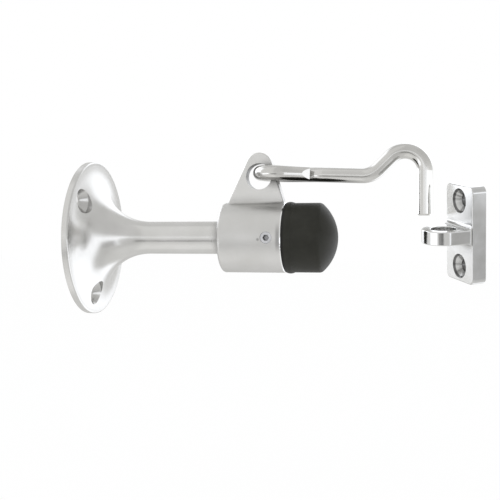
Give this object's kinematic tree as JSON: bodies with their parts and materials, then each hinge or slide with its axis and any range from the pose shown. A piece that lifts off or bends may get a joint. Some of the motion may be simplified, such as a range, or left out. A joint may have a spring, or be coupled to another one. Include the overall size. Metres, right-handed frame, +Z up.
{
  "type": "wall door stop with hook and keeper",
  "caption": "Wall-mounted door stop: a flared round base, straight stem and rubber-tipped head, with a swinging holdback hook on an ear and a screw-on keeper plate whose eye takes the hook.",
  "frame": {"origin": "centre of the round base's flat wall face", "axes": "+X out of the wall along the stem toward the bumper's nose, +Z up through the ear, +Y to the left as seen when looking from the wall along +X"},
  "size_m": [0.1401, 0.0556, 0.0598],
  "materials": {
    "satin_casting": "satin",
    "black_rubber": "matte",
    "screw_steel": "satin",
    "hook_rod": "gloss",
    "keeper_metal": "gloss"
  },
  "bodies": {
    "stop": {"stop_body": "satin_casting", "rubber_bumper": "black_rubber", "bumper_set_screw": "screw_steel"},
    "hook_arm": {"hook": "hook_rod"},
    "keeper_plate": {"keeper": "keeper_metal"}
  },
  "joints": [
    {"name": "hook_swing", "type": "hinge", "parent": "stop", "child": "hook_arm", "pos_m": [0.06435, 0, 0.0227], "axis": [0, 1, 0], "range_deg": [-182, 17]},
    {"name": "keeper_travel", "type": "slide", "parent": "stop", "child": "keeper_plate", "axis": [1, 0, 0], "range_m": [0, 0.06]}
  ]
}
